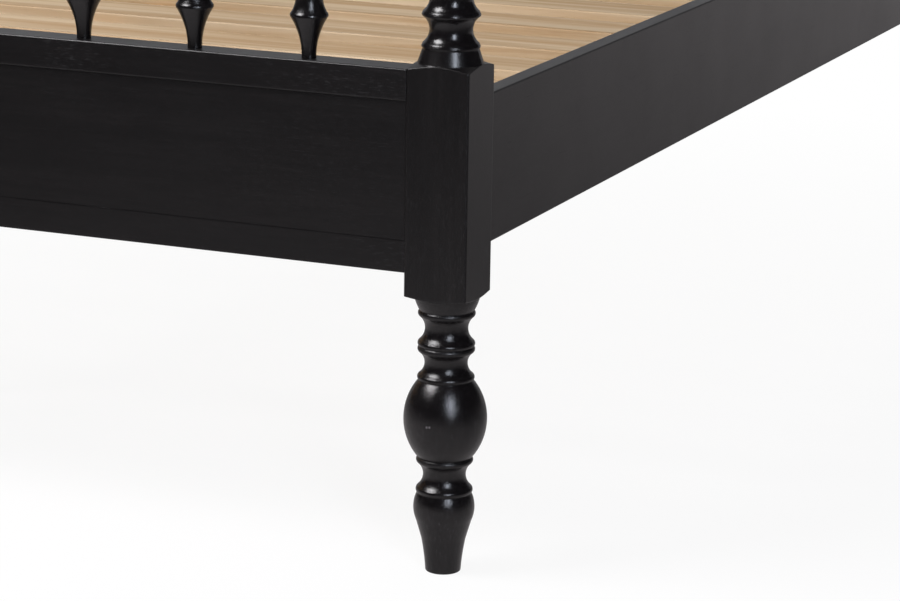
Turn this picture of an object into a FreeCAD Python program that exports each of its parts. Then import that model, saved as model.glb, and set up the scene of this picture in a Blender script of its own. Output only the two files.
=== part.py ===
"""Spindle bed, queen size: four turned posts, bobbin spindles, panelled head and foot, slatted base.

Frame: millimetres, +Z up, origin on the floor under the middle of the bed. +Y points to the head,
+X to the right of someone who stands at the foot. Every length is a cell of the sheet "Sizes".
A length given as text is an expression in those cells, so each object stays tied to them.
"""

import FreeCAD, Part
import os
import re

import Sketcher
from FreeCAD import Placement, Rotation, Vector

SIZES = [
    # the space that the bed is built round
    ("queen_width", 1524, "width that a queen size stands for"),
    ("queen_length", 2032, "length that a queen size stands for"),
    ("width_gap", 13, "spare room inside each side rail"),
    ("length_gap", 10, "spare room inside the posts, each end"),
    # post: square blocks and the turned shaft between them
    ("block_side", 65, "square of the blocks"),
    ("block_height", 230, "lower block, between the middles of its turned shoulders"),
    ("block_arris", 2, "radius of the upright edges of a block"),
    ("shoulder_drop", 4.2, "fall of a turned shoulder from mid face to corner"),
    ("underside_rise", 3, "rise of the block's turned underside from mid face to corner"),
    ("core_radius", 21.5, "turning inside the blocks"),
    ("collar_radius", 32.4, "turned collar where it leaves a block"),
    ("collar_height", 14.6, "turned collar"),
    ("bobbin_ring_radius", 28.6, "ring of the post's bobbins"),
    ("bobbin_ring_height", 5, "ring of the post's bobbins"),
    ("bobbin_ridge_height", 2.2, "underside of a ring to its widest place"),
    ("bobbin_ring_fall", 1.3, "how much a ring narrows to its upper edge"),
    ("bobbin_undercut", 1.1, "how much a ring narrows to its underside"),
    ("bobbin_ring_bow", 0.4, "bulge of a ring's lower flank"),
    ("bobbin_neck_radius", 21.1, "neck of the post's bobbins"),
    ("bobbin_cove_length", 25.6, "hollow between two rings"),
    ("shortest_cove", 16, "least hollow left under the upper block"),
    ("upper_block_margin", 8, "upper block beyond the top rail, above and below"),
    ("finial_collar_bow", 0.8, "bulge of the collar under the finial"),
    ("finial_neck_radius", 13.5, "neck under the ball"),
    ("finial_neck_length", 14, "hollow between ring and ball"),
    ("finial_neck_bow", 2.6, "how far that hollow is hollowed"),
    ("finial_ball_radius", 30, "ball on the post"),
    # turned foot
    ("foot_height", 281, "turned foot, floor to block"),
    ("foot_rim_radius", 17.7, "foot at the floor"),
    ("foot_rim_round", 1.5, "rounded edge at the floor"),
    ("foot_waist_radius", 22.1, "foot where its vase begins to swell"),
    ("foot_waist_height", 34.1, "floor to that place"),
    ("foot_waist_bow", 0.55, "hollow between the floor and that place"),
    ("foot_swell_radius", 27.6, "vase where its belly begins"),
    ("foot_swell_height", 53, "floor to that place"),
    ("foot_belly_bow", 3.2, "bulge of the vase's belly"),
    ("foot_vase_length", 81.4, "floor to the first ring"),
    ("foot_ring_radius", 28.3, "rings of the foot"),
    ("foot_base_ring_height", 6.3, "first ring, above the vase"),
    ("foot_ring_height", 5.7, "each further ring"),
    ("foot_ring_bow", 1.4, "how far a ring bulges"),
    ("foot_cove_length", 24.7, "hollow between two rings"),
    ("foot_mid_cove_length", 22.8, "hollow between the double ring and the bulb's ring"),
    ("foot_neck_radius", 21.2, "foot at the middle of a hollow"),
    ("foot_bulb_radius", 41.3, "widest of the bulb, which takes what the rest leaves of the height"),
    ("foot_collar_height", 13.9, "flare under the block"),
    ("foot_collar_bow", 0.55, "bulge of that flare"),
    # framed panel between the posts, alike at head and foot
    ("board_height", 200.2, "both rails and the panel between them"),
    ("rail_setback", 0.6, "spindle rail behind the face of the post"),
    ("rail_thickness", 33, "spindle rail and top rail"),
    ("rail_arris", 1.4, "rounded edges of the rails"),
    ("spindle_rail_height", 31.1, "rail under the spindles"),
    ("lower_rail_height", 32, "rail under the panel"),
    ("lower_rail_setback", 2.2, "lower rail behind the face of the post"),
    ("lower_rail_thickness", 30, "lower rail"),
    ("panel_setback", 3.4, "panel behind the face of the post"),
    ("panel_thickness", 16, "panel"),
    ("tongue_thickness", 8, "tongue round the panel"),
    ("tongue_length", 9, "how far the tongue enters its groove"),
    ("top_rail_height", 46, "rail above the spindles"),
    ("top_rail_round", 8, "rounded upper edges of the top rail"),
    ("tenon_length", 25, "rail tenon in the post"),
    ("tenon_thickness", 12, "rail tenon"),
    ("tenon_haunch", 5, "least step from the rail's edge to its tenon"),
    ("joint_clearance", 0.1, "play on each side of a tenon, tongue or pin"),
    ("joint_depth_gap", 1, "play at the bottom of a mortise, groove or bore"),
    # spindles
    ("spindle_count", 11, "spindles in each board"),
    ("spindle_end_offset", 142.8, "axis of the post to the first spindle"),
    ("trumpet_length", 41, "plain flare at each end of a spindle"),
    ("trumpet_radius", 7.2, "spindle where it meets a rail"),
    ("trumpet_bow", 3.2, "hollow of the flare"),
    ("spindle_ring_radius", 18.9, "ring of a spindle"),
    ("spindle_ring_height", 3.9, "ring of a spindle"),
    ("spindle_ring_fall", 1.5, "how much a ring narrows to its upper edge"),
    ("spindle_ring_bow", 0.5, "how far a spindle's ring bulges"),
    ("spindle_neck_radius", 12.7, "neck between two rings of a spindle"),
    ("spindle_pitch", 35, "ring to ring along a spindle"),
    ("foot_bobbins", 4, "ring spacings on a spindle at the foot"),
    ("head_bobbins", 14, "ring spacings on a spindle at the head"),
    ("spindle_tenon_radius", 6, "round tenon of a spindle"),
    ("spindle_tenon_length", 17, "round tenon of a spindle"),
    # side rails and their steel angles
    ("side_rail_height", 148.5, "side rail"),
    ("side_rail_thickness", 19.7, "side rail"),
    ("side_rail_setback", 1.9, "side rail behind the face of the post"),
    ("side_rail_drop", 27.5, "side rail's top edge below the spindle rail's"),
    ("angle_height", 46, "steel angle at each end of a side rail"),
    ("angle_leg", 60, "angle's leg along the side rail"),
    ("angle_width", 40, "angle's leg across the post"),
    ("steel_thickness", 3, "angles and beam hangers"),
    ("angle_lift", 4, "angle above the side rail's lower edge"),
    ("bolt_radius", 4, "bolts of the angles and screws of the levellers"),
    ("bolt_length", 18, "bolt beyond the angle"),
    ("bolt_head_radius", 7, "flat round bolt head"),
    ("bolt_head_height", 4, "flat round bolt head"),
    ("bolt_socket_radius", 2.9, "six-sided socket in a bolt head, out to its corners"),
    ("bolt_socket_depth", 2.5, "that socket"),
    ("bolt_spacing", 24, "upright distance of the two bolts, and of the screws"),
    ("insert_radius", 6, "threaded insert in the post"),
    ("insert_length", 20, "threaded insert in the post"),
    ("thread_clearance", 0.05, "play of a screw in its thread"),
    ("hole_play", 0.4, "round a screw or bolt in a hole that it goes through"),
    ("angle_screw_near", 27, "post to the nearer screws of an angle"),
    ("angle_screw_far", 48, "post to the farther screws of an angle"),
    ("screw_radius", 2, "wood screw"),
    ("screw_length", 15, "wood screw beyond its head, in steel angles and hangers"),
    ("slat_screw_length", 27, "wood screw beyond its head, through a slat"),
    ("ledger_screw_length", 36, "wood screw beyond its head, through a ledger"),
    ("screw_head_radius", 4, "wood screw head"),
    ("screw_head_height", 1.6, "wood screw head"),
    # base: ledgers, slats, middle beam and its legs
    ("slat_drop", 75, "top of the slats below the side rail's top edge"),
    ("slat_count", 13, "slats"),
    ("slat_width", 90, "slat"),
    ("slat_thickness", 18, "slat"),
    ("slat_end_gap", 3, "slat end to side rail"),
    ("slat_round", 2, "rounded edges of a slat"),
    ("slat_inset", 2, "ledger's end to the first slat"),
    ("ledger_width", 24, "ledger under the slats' ends"),
    ("ledger_height", 28, "ledger under the slats' ends"),
    ("ledger_end_gap", 68, "ledger's end to the post"),
    ("ledger_screw_count", 6, "screws that hold a ledger to its side rail"),
    ("beam_width", 45, "middle beam"),
    ("beam_height", 75, "middle beam"),
    ("beam_end_gap", 2, "end of the beam to the back of its hanger"),
    ("hanger_depth", 45, "beam hanger along the beam"),
    ("hanger_height", 52, "sides of a beam hanger above its floor"),
    ("hanger_flange", 24, "screw flange beside the beam"),
    ("leg_count", 2, "legs under the beam"),
    ("leg_side", 42, "square of a beam leg at its top"),
    ("leg_foot_side", 30, "square of a beam leg at its bottom"),
    ("leg_spacing", 1400, "beam leg to beam leg"),
    ("leg_lift", 22, "floor to the beam leg's underside"),
    ("leveller_radius", 16, "pad of a leveller"),
    ("leveller_height", 8, "pad of a leveller"),
    ("leveller_round", 1.5, "rounded edges of the pad"),
    ("leveller_screw", 36, "leveller's screw above its pad"),
    ("leveller_room", 6, "bore beyond the end of a leveller's screw"),
    ("nut_radius", 5, "barrel of the drive-in nut"),
    ("nut_length", 12, "barrel of the drive-in nut"),
    ("nut_flange_radius", 11, "flange of the drive-in nut"),
    ("nut_flange", 1.6, "flange of the drive-in nut"),
    ("hanger_bolt_radius", 5, "double-ended bolt that holds a foot or a beam leg"),
    ("hanger_bolt_half", 40, "that bolt, on each side of its joint"),
]

doc = FreeCAD.newDocument("SpindleBed")
sheet = doc.addObject("Spreadsheet::Sheet", "Sizes")
for row, (alias, number, note) in enumerate(SIZES, start=1):
    sheet.set(f"A{row}", alias)
    sheet.set(f"B{row}", str(number))
    sheet.set(f"C{row}", note)
    sheet.setAlias(f"B{row}", alias)
doc.recompute()

ALIASES = re.compile(r"\b(" + "|".join(alias for alias, _, _ in SIZES) + r")\b")
QUARTER_BOW = "(1 - sqrt(0.5))"  # bow of a quarter circle, as a share of its radius
BEYOND = "5"  # how far a cutter runs past the face that it opens

# places worked out from the sizes
HALF_BLOCK = "(block_side / 2)"
RAIL_INNER = f"({HALF_BLOCK} - side_rail_setback - side_rail_thickness)"  # from the post's axis
POST_X = f"(queen_width / 2 + width_gap - {RAIL_INNER})"
POST_Y = f"(queen_length / 2 + length_gap + {HALF_BLOCK})"
BLOCK_TOP = "(foot_height + block_height)"
BOARD_TOP = f"({BLOCK_TOP} - shoulder_drop)"
BOARD_BOTTOM = f"({BOARD_TOP} - board_height)"
PANEL_TOP = f"({BOARD_TOP} - spindle_rail_height)"
PANEL_BOTTOM = f"({BOARD_BOTTOM} + lower_rail_height)"
RAIL_FRONT = f"(rail_setback - {HALF_BLOCK})"
RAIL_BACK = f"({RAIL_FRONT} + rail_thickness)"
RAIL_MIDDLE = f"({RAIL_FRONT} + rail_thickness / 2)"
LOWER_FRONT = f"(lower_rail_setback - {HALF_BLOCK})"
LOWER_BACK = f"({LOWER_FRONT} + lower_rail_thickness)"
PANEL_FRONT = f"(panel_setback - {HALF_BLOCK})"
PANEL_BACK = f"({PANEL_FRONT} + panel_thickness)"
TONGUE_FRONT = f"({PANEL_FRONT} + (panel_thickness - tongue_thickness) / 2)"
TONGUE_BACK = f"({TONGUE_FRONT} + tongue_thickness)"
GROOVE_DEPTH = "(tongue_length + joint_depth_gap)"
BETWEEN_POSTS = f"(2 * {POST_X} - block_side)"
SIDE_TOP = f"({BOARD_TOP} - side_rail_drop)"
SIDE_BOTTOM = f"({SIDE_TOP} - side_rail_height)"
SIDE_LENGTH = "(queen_length + 2 * length_gap)"
SLAT_TOP = f"({SIDE_TOP} - slat_drop)"
SLAT_BOTTOM = f"({SLAT_TOP} - slat_thickness)"
SCREW_SEAT = f"({SLAT_TOP} - screw_head_height - joint_clearance)"  # under a sunk screw head in a slat
BEAM_BOTTOM = f"({SLAT_BOTTOM} - beam_height)"
LEDGER_BOTTOM = f"({SLAT_BOTTOM} - ledger_height)"
INSIDE_HALF = f"({POST_X} + {RAIL_INNER})"
ANGLE_BOTTOM = f"({SIDE_BOTTOM} + angle_lift)"
BOLT_LOW = f"({ANGLE_BOTTOM} + (angle_height - bolt_spacing) / 2)"
BOLT_HIGH = f"({BOLT_LOW} + bolt_spacing)"
BOLT_X = f"({RAIL_INNER} - angle_width / 2)"
HANGER_SCREW_Z = f"(({BOARD_BOTTOM} + {PANEL_BOTTOM}) / 2)"
BOBBIN = "(bobbin_ring_height + bobbin_cove_length)"
RING_TOP = "(bobbin_ring_radius - bobbin_ring_fall)"
RING_UNDER = "(bobbin_ring_radius - bobbin_undercut)"
BOBBIN_COVE = f"(({RING_UNDER} + {RING_TOP}) / 2 - bobbin_neck_radius)"
SHAFT_START = f"({BLOCK_TOP} + collar_height)"

parts = []  # every finished sub-part
cuts = []  # pairs of a cut shape and the object that it was cut from


def bound(text):
    """The expression with each size written as a cell of the sheet."""
    return ALIASES.sub(r"Sizes.\1", str(text))


def value(text):
    return float(sheet.evalExpression(bound(text)))


def bind(thing, **properties):
    for path, text in properties.items():
        thing.setExpression(path.replace("__", "."), bound(text))


def minus(text):
    return f"(-({text}))"


def finish(thing, label):
    """Name a finished sub-part and put it on the list of pieces."""
    thing.Label = label
    parts.append(thing)
    return thing


# ---------------------------------------------------------------- simple solids


def box(name, x, y, z):
    """A block between pairs of expressions along X, Y and Z."""
    solid = doc.addObject("Part::Box", name)
    length, width, height = (f"({high}) - ({low})" for low, high in (x, y, z))
    bind(solid, Length=length, Width=width, Height=height)
    bind(solid, Placement__Base__x=x[0], Placement__Base__y=y[0], Placement__Base__z=z[0])
    return solid


def rod(name, radius, start, length, towards=(0, 0, 1)):
    """A cylinder from a point given as three expressions."""
    solid = doc.addObject("Part::Cylinder", name)
    solid.Placement = Placement(Vector(), Rotation(Vector(0, 0, 1), Vector(*towards)))
    bind(solid, Radius=radius, Height=length)
    bind(solid, Placement__Base__x=start[0], Placement__Base__y=start[1], Placement__Base__z=start[2])
    return solid


def joined(name, solids):
    if len(solids) == 1:
        return solids[0]
    union = doc.addObject("Part::MultiFuse", name)
    union.Shapes = solids
    return union


def together(name, solids):
    """A group of separate solids, for identical fasteners that share a node."""
    group = doc.addObject("Part::Compound", name)
    group.Links = solids
    return group


def cut(name, base, tools):
    result = doc.addObject("Part::Cut", name)
    result.Base = base
    result.Tool = joined(name + "Tools", tools)
    cuts.append((result, base))
    return result


def set_down(thing, end, x="0"):
    """Place a piece made in its end board's own frame: origin on the post line, outside face to -Y."""
    head = end == "head"
    turn = Rotation(Vector(0, 0, 1), 180 if head else 0)
    thing.Placement = Placement(Vector(), turn)
    bind(thing, Placement__Base__x=minus(x) if head else x)
    bind(thing, Placement__Base__y=POST_Y if head else minus(POST_Y))
    return thing


# ---------------------------------------------------------------- sketches


def outline(sketch, corners, first_edge=0):
    """Draw one closed loop of (x, y, bow) corners and tie each to the sheet.

    bow is how far the edge to the next corner bulges to the right of its direction, None if straight.
    An edge's two ends are its points 1 and 2, in an order that an arc chooses for itself.
    """
    count = len(corners)
    points = [Vector(value(x), value(y), 0) for x, y, _ in corners]
    edges = []
    for i in range(count):
        start, end, bow = points[i], points[(i + 1) % count], corners[i][2]
        if bow is None:
            edges.append(Part.LineSegment(start, end))
            continue
        across = Vector(end.y - start.y, start.x - end.x, 0).normalize()
        edges.append(Part.Arc(start, (start + end) * 0.5 + across * value(bow), end))
    sketch.addGeometry(edges, False)
    starts = []
    for i in range(count):
        begins = sketch.getPoint(first_edge + i, 1).distanceToPoint(points[i]) < 1e-6
        starts.append(1 if begins else 2)
    rules, texts = [], {}
    for i, (x, y, bow) in enumerate(corners):
        follower = (i + 1) % count
        edge = first_edge + i
        far_end, near_end = 3 - starts[i], starts[follower]
        rules.append(Sketcher.Constraint("Coincident", edge, far_end, first_edge + follower, near_end))
        distances = (("DistanceX", -2, x, points[i].x), ("DistanceY", -1, y, points[i].y))
        for kind, axis, text, number in distances:
            if text == "0":
                rules.append(Sketcher.Constraint("PointOnObject", edge, starts[i], axis))
                continue
            texts[len(rules)] = text
            rules.append(Sketcher.Constraint(kind, -1, 1, edge, starts[i], number))
        if bow is not None:
            x_next, y_next, _ = corners[follower]
            chord = f"((({x_next}) - ({x}))^2 + (({y_next}) - ({y}))^2)"
            radius = f"({chord} / 4 + ({bow})^2) / (2 * abs({bow}))"
            texts[len(rules)] = radius
            rules.append(Sketcher.Constraint("Radius", edge, value(radius)))
    before = sketch.ConstraintCount
    sketch.addConstraint(rules)
    for index, text in texts.items():
        sketch.setExpression(f"Constraints[{before + index}]", bound(text))
    return first_edge + count


def body_sketch(body, name, plane, loops, height=None):
    """A sketch on one of the body's own origin planes, lifted by height along the plane's normal."""
    sketch = body.newObject("Sketcher::SketchObject", name)
    support = [plane_object for plane_object in body.Origin.OriginFeatures if plane_object.Role == plane][0]
    sketch.AttachmentSupport = [(support, "")]
    sketch.MapMode = "FlatFace"
    if height is not None:
        bind(sketch, AttachmentOffset__Base__z=height)
    edge = 0
    for loop in loops:
        edge = outline(sketch, loop, edge)
    return sketch


def turning_sketch(name, corners):
    """A free upright sketch, shared by all the pieces turned to the same profile."""
    sketch = doc.addObject("Sketcher::SketchObject", name)
    sketch.Placement = Placement(Vector(), Rotation(Vector(1, 0, 0), 90))
    outline(sketch, corners)
    return sketch


def turned(name, sketch):
    solid = doc.addObject("Part::Revolution", name)
    solid.Source = sketch
    solid.Axis = Vector(0, 0, 1)
    solid.Angle = 360
    solid.Solid = True
    return solid


def rectangle(x, y):
    return [(x[0], y[0], None), (x[1], y[0], None), (x[1], y[1], None), (x[0], y[1], None)]


def rounded(x, y, radii):
    """A rectangle with its corners rounded, from the lower left one round by the right."""
    low_left, low_right, high_right, high_left = radii
    corners = [(f"{x[0]} + {low_left}", y[0], None)]
    corners += [(f"{x[1]} - {low_right}", y[0], f"{QUARTER_BOW} * {low_right}")]
    corners += [(x[1], f"{y[0]} + {low_right}", None)]
    corners += [(x[1], f"{y[1]} - {high_right}", f"{QUARTER_BOW} * {high_right}")]
    corners += [(f"{x[1]} - {high_right}", y[1], None)]
    corners += [(f"{x[0]} + {high_left}", y[1], f"{QUARTER_BOW} * {high_left}")]
    corners += [(x[0], f"{y[1]} - {high_left}", None)]
    corners += [(x[0], f"{y[0]} + {low_left}", f"{QUARTER_BOW} * {low_left}")]
    return corners


def pad(body, sketch, name, length):
    """Extend a sketch by half the length to each side."""
    feature = body.newObject("PartDesign::Pad", name)
    feature.Profile = sketch
    feature.SideType = "Symmetric"
    bind(feature, Length=length)
    sketch.Visibility = False
    return feature


def rise(body, sketch, name, length):
    """Extend a sketch along its normal."""
    feature = body.newObject("PartDesign::Pad", name)
    feature.Profile = sketch
    bind(feature, Length=length)
    return feature


def revolve(body, kind, sketch, name):
    feature = body.newObject(f"PartDesign::{kind}", name)
    feature.Profile = sketch
    feature.ReferenceAxis = (sketch, ["V_Axis"])
    feature.Angle = 360
    return feature


# ---------------------------------------------------------------- turned foot


def foot_profile():
    """The foot from the floor up: vase, ring, hollow, bulb between two rings, double ring, ring, collar."""
    side = "(foot_ring_radius - foot_ring_bow)"
    cove = f"-({side} - foot_neck_radius)"
    vase = "foot_vase_length"
    above_bulb = "(4 * foot_ring_height + foot_mid_cove_length + foot_cove_length + foot_collar_height)"
    below_bulb = f"({vase} + foot_base_ring_height + foot_cove_length + foot_ring_height)"
    corners = [
        ("0", "0", None),
        ("foot_rim_radius - foot_rim_round", "0", f"{QUARTER_BOW} * foot_rim_round"),
        ("foot_rim_radius", "foot_rim_round", "-foot_waist_bow"),
        ("foot_waist_radius", "foot_waist_height", None),
        ("foot_swell_radius", "foot_swell_height", "foot_belly_bow"),
    ]
    level = vase
    ups = [
        ("foot_base_ring_height", "foot_ring_bow"),
        ("foot_cove_length", cove),
        ("foot_ring_height", "foot_ring_bow"),
        (f"(foot_height - {below_bulb} - {above_bulb})", f"foot_bulb_radius - {side}"),
        ("foot_ring_height", "foot_ring_bow"),
        ("foot_mid_cove_length", cove),
        ("foot_ring_height", "foot_ring_bow"),
        ("foot_ring_height", "foot_ring_bow"),
        ("foot_cove_length", cove),
        ("foot_ring_height", "foot_ring_bow"),
        ("foot_collar_height", "foot_collar_bow"),
    ]
    for length, bow in ups:
        corners.append((side, level, bow))
        level = f"({level} + {length})"
    corners.append(("collar_radius", "foot_height", None))
    corners.append(("0", "foot_height", None))
    return corners


def turned_foot(end, side, sketch):
    name = f"{end}_{side}"
    blank = turned(f"FootBlank_{name}", sketch)
    depth = "(hanger_bolt_half + joint_depth_gap)"
    start = ("0", "0", f"foot_height - {depth}")
    bore = rod(f"FootBore_{name}", "hanger_bolt_radius + joint_clearance", start, f"{depth} + {BEYOND}")
    foot = cut(f"Foot_{name}", blank, [bore])
    return finish(set_down(foot, end, post_x(end, side)), f"turned_foot_{name}")


# ---------------------------------------------------------------- posts


def post_x(end, side):
    """The post's place in its board's own frame, which is turned round at the head."""
    on_right = (side == "right") == (end == "foot")
    return POST_X if on_right else minus(POST_X)


def spindle_length(end):
    return f"(2 * trumpet_length + {end}_bobbins * spindle_pitch)"


def top_rail_bottom(end):
    return f"({BOARD_TOP} + {spindle_length(end)})"


def top_rail_top(end):
    return f"({top_rail_bottom(end)} + top_rail_height)"


def shaft_profile(end, spacings):
    """The whole turning of a post; the hollows between its rings are cut afterwards."""
    upper_bottom = f"({top_rail_bottom(end)} - upper_block_margin - shoulder_drop)"
    upper_top = f"({top_rail_top(end)} + upper_block_margin + shoulder_drop)"
    last_ring = f"({SHAFT_START} + {spacings} * {BOBBIN})"
    finial_ring = f"({upper_top} + collar_height)"
    ball_bottom = f"({finial_ring} + bobbin_ring_height + finial_neck_length)"
    below_middle = "sqrt(finial_ball_radius^2 - finial_neck_radius^2)"
    ball_middle = f"({ball_bottom} + {below_middle})"
    chord = f"((finial_ball_radius - finial_neck_radius)^2 + {below_middle}^2)"
    ball_bow = f"finial_ball_radius - sqrt(finial_ball_radius^2 - {chord} / 4)"
    return [
        ("0", "foot_height", None),
        ("core_radius", "foot_height", None),
        ("core_radius", BLOCK_TOP, None),
        ("collar_radius", BLOCK_TOP, None),
        (RING_UNDER, SHAFT_START, "bobbin_ring_bow"),
        ("bobbin_ring_radius", f"{SHAFT_START} + bobbin_ridge_height", None),
        ("bobbin_ring_radius", f"{last_ring} + bobbin_ridge_height", None),
        (RING_TOP, f"{last_ring} + bobbin_ring_height", f"-({RING_TOP} - bobbin_neck_radius)"),
        (RING_TOP, f"{upper_bottom} - collar_height", None),
        ("collar_radius", upper_bottom, None),
        ("core_radius", upper_bottom, None),
        ("core_radius", upper_top, None),
        ("collar_radius", upper_top, None),
        (RING_TOP, finial_ring, "finial_collar_bow"),
        (RING_TOP, f"{finial_ring} + bobbin_ring_height", "-finial_neck_bow"),
        ("finial_neck_radius", ball_bottom, ball_bow),
        ("finial_ball_radius", ball_middle, f"{QUARTER_BOW} * finial_ball_radius"),
        ("0", f"{ball_middle} + finial_ball_radius", None),
    ]


def hollow_profile():
    """One hollow, from the ridge of a ring to the ridge of the next, open to the outside."""
    top = f"({SHAFT_START} + bobbin_ring_height)"
    ridge = f"({SHAFT_START} + bobbin_ridge_height)"
    next_ring = f"({SHAFT_START} + {BOBBIN})"
    next_ridge = f"({ridge} + {BOBBIN})"
    outside = f"(bobbin_ring_radius + {BEYOND})"
    return [
        (outside, ridge, None),
        (outside, next_ridge, None),
        ("bobbin_ring_radius", next_ridge, "-bobbin_ring_bow"),
        (RING_UNDER, next_ring, BOBBIN_COVE),
        (RING_TOP, top, None),
        ("bobbin_ring_radius", ridge, None),
    ]


def shoulder(level, fall):
    """The ring outside a turned shoulder: a block loses its corners to a shallow cone."""
    reach = f"({HALF_BLOCK} * sqrt(2) + {BEYOND})"
    corner = f"({HALF_BLOCK} * sqrt(2) - {HALF_BLOCK})"
    beyond = f"({level} + {fall} * ({corner} + {BEYOND}) / {corner})"
    return [(HALF_BLOCK, level, None), (reach, level, None), (reach, beyond, None)]


def post(end, side):
    name = f"{end}_{side}"
    upper_low = f"({top_rail_bottom(end)} - upper_block_margin)"
    upper_high = f"({top_rail_top(end)} + upper_block_margin)"
    upper_bottom = f"({upper_low} - shoulder_drop)"
    upper_top = f"({upper_high} + shoulder_drop)"
    room = value(f"{upper_bottom} - collar_height - {SHAFT_START} - bobbin_ring_height - shortest_cove")
    spacings = int(room // value(BOBBIN))
    body = doc.addObject("PartDesign::Body", f"PostBody_{name}")
    shaft = body_sketch(body, f"ShaftProfile_{name}", "XZ_Plane", [shaft_profile(end, spacings)])
    revolve(body, "Revolution", shaft, f"Shaft_{name}")
    hollow = body_sketch(body, f"HollowProfile_{name}", "XZ_Plane", [hollow_profile()])
    groove = revolve(body, "Groove", hollow, f"Hollow_{name}")
    pattern = body.newObject("PartDesign::LinearPattern", f"Hollows_{name}")
    pattern.Originals = [groove]
    pattern.Direction = (hollow, ["V_Axis"])
    pattern.Occurrences = spacings
    bind(pattern, Length=f"{spacings - 1} * {BOBBIN}")
    body.Tip = pattern
    square = rounded((minus(HALF_BLOCK), HALF_BLOCK), (minus(HALF_BLOCK), HALF_BLOCK), ["block_arris"] * 4)
    lower = body_sketch(body, f"LowerSquare_{name}", "XY_Plane", [square], "foot_height")
    rise(body, lower, f"LowerBlock_{name}", "block_height")
    upper = body_sketch(body, f"UpperSquare_{name}", "XY_Plane", [square], upper_bottom)
    rise(body, upper, f"UpperBlock_{name}", f"{upper_top} - {upper_bottom}")
    loops = [
        shoulder("foot_height", "underside_rise"),
        shoulder(BLOCK_TOP, "-shoulder_drop"),
        shoulder(upper_bottom, "shoulder_drop"),
        shoulder(upper_top, "-shoulder_drop"),
    ]
    corners = body_sketch(body, f"ShoulderProfile_{name}", "XZ_Plane", loops)
    revolve(body, "Groove", corners, f"Shoulders_{name}")
    tools = mortises(end, side) + angle_bores(end, side) + [foot_bolt_bore(name)]
    result = cut(f"Post_{name}", body, tools)
    return finish(set_down(result, end, post_x(end, side)), f"post_{name}")


def inner_face(end, side, low, high):
    """A stretch of depth into the post from its inner side face, as a pair along X."""
    if post_x(end, side) == POST_X:
        return (f"{low} - {HALF_BLOCK}", f"{high} - {HALF_BLOCK}")
    return (f"{HALF_BLOCK} - {high}", f"{HALF_BLOCK} - {low}")


def mortises(end, side):
    """Mortises for three rails and the groove for the panel, in the post's inner side face."""
    name = f"{end}_{side}"
    depth = inner_face(end, side, minus(BEYOND), "(tenon_length + joint_depth_gap)")
    tools = []
    for rail, (front, back, low, high) in tenons(end).items():
        across = (f"{front} - joint_clearance", f"{back} + joint_clearance")
        upright = (f"{low} - joint_clearance", f"{high} + joint_clearance")
        tools.append(box(f"Mortise_{rail}_{name}", depth, across, upright))
    groove_across = (f"{TONGUE_FRONT} - joint_clearance", f"{TONGUE_BACK} + joint_clearance")
    groove_depth = inner_face(end, side, minus(BEYOND), GROOVE_DEPTH)
    upright = (f"{PANEL_BOTTOM} - joint_clearance", f"{PANEL_TOP} + joint_clearance")
    tools.append(box(f"PanelGroove_{name}", groove_depth, groove_across, upright))
    return tools


def tenons(end):
    """Front, back, bottom and top of the tenon of each rail."""
    lower_middle = f"({LOWER_FRONT} + lower_rail_thickness / 2)"
    bottom = top_rail_bottom(end)
    return {
        "spindle": (
            f"({RAIL_MIDDLE} - tenon_thickness / 2)",
            f"({RAIL_MIDDLE} + tenon_thickness / 2)",
            f"({PANEL_TOP} + {GROOVE_DEPTH} + joint_depth_gap)",
            f"({BOARD_TOP} - tenon_haunch)",
        ),
        "lower": (
            f"({lower_middle} - tenon_thickness / 2)",
            f"({lower_middle} + tenon_thickness / 2)",
            f"({BOARD_BOTTOM} + tenon_haunch)",
            f"({PANEL_BOTTOM} - {GROOVE_DEPTH} - joint_depth_gap)",
        ),
        "top": (
            f"({RAIL_MIDDLE} - tenon_thickness / 2)",
            f"({RAIL_MIDDLE} + tenon_thickness / 2)",
            f"({bottom} + tenon_haunch)",
            f"({bottom} + top_rail_height - 2 * tenon_haunch)",
        ),
    }


def outward(end, side, text):
    """A distance along X from the post's axis towards the outside of the bed."""
    return text if post_x(end, side) == POST_X else minus(text)


def angle_bores(end, side):
    """Bores for the two threaded inserts, in the face that the side rail butts against."""
    tools = []
    for level, height in (("Low", BOLT_LOW), ("High", BOLT_HIGH)):
        start = (outward(end, side, BOLT_X), f"{HALF_BLOCK} + {BEYOND}", height)
        name = f"InsertBore{level}_{end}_{side}"
        depth = f"{BEYOND} + insert_length + joint_depth_gap"
        tools.append(rod(name, "insert_radius + joint_clearance", start, depth, (0, -1, 0)))
    return tools


def foot_bolt_bore(name):
    start = ("0", "0", f"foot_height - {BEYOND}")
    depth = f"hanger_bolt_half + joint_depth_gap + {BEYOND}"
    return rod(f"BoltBore_{name}", "hanger_bolt_radius + joint_clearance", start, depth)


# ---------------------------------------------------------------- boards between the posts


def tenon_bar(body, end, rail, name):
    """Both tenons of a rail, as one bar through it."""
    front, back, low, high = tenons(end)[rail]
    sketch = body_sketch(body, f"TenonSection_{name}", "YZ_Plane", [rectangle((front, back), (low, high))])
    pad(body, sketch, f"Tenons_{name}", f"{BETWEEN_POSTS} + 2 * tenon_length")


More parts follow.
